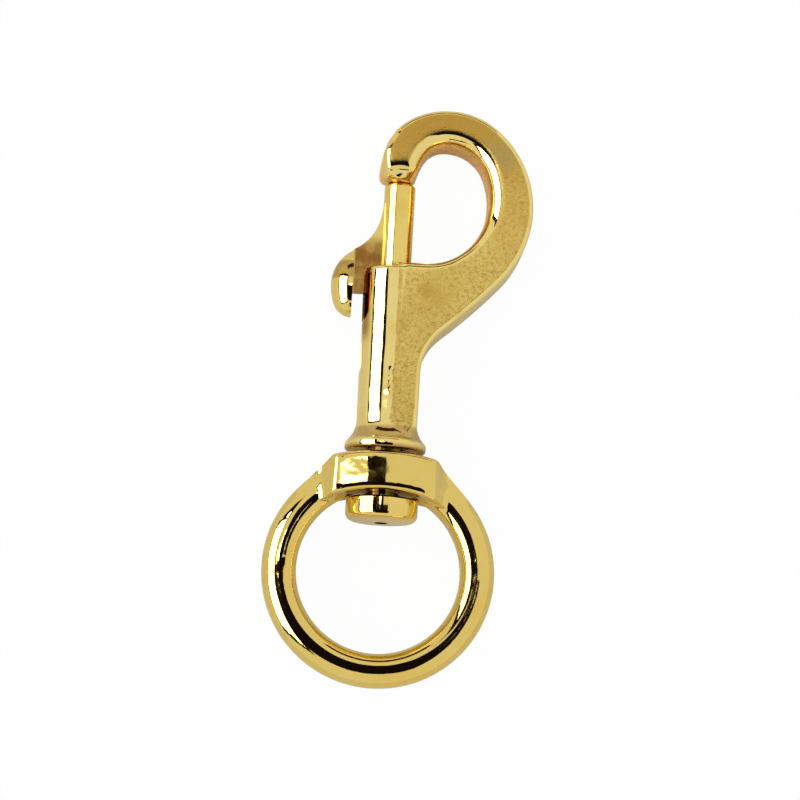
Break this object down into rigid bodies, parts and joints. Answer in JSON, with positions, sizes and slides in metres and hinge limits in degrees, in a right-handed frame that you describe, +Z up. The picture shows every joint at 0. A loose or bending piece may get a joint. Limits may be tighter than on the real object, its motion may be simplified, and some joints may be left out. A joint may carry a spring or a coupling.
{
  "type": "snap hook",
  "caption": "Brass bolt snap hook with flat-sided hook, sprung sliding bolt with thumb pad, and a round swivel eye.",
  "frame": {"origin": "middle of the round swivel eye, halfway between its two sides", "axes": "+Y from the eye up the barrel's axis to the hook, +X towards the hook's back, +Z up through the flat sides"},
  "size_m": [0.039, 0.0913, 0.0128],
  "materials": {
    "cast_brass": "flats ground satin, rounds polished",
    "polished_brass": "polished",
    "spring_steel": "drawn wire"
  },
  "bodies": {
    "hook": {"hook_body": "cast_brass", "bolt_spring": "spring_steel", "swivel_rivet": "polished_brass"},
    "bolt": {"bolt": "polished_brass"},
    "eye": {"swivel_ring": "polished_brass"}
  },
  "joints": [
    {"name": "bolt_slide", "type": "slide", "parent": "hook", "child": "bolt", "axis": [0, -1, 0], "range_m": [0, 0.0115], "stiffness_N_per_m": 600, "springref_m": -0.008, "deforming": ["bolt_spring"]},
    {"name": "ring_swivel", "type": "hinge", "parent": "hook", "child": "eye", "pos_m": [0, 0.01885, 0], "axis": [0, 1, 0], "continuous": true}
  ]
}
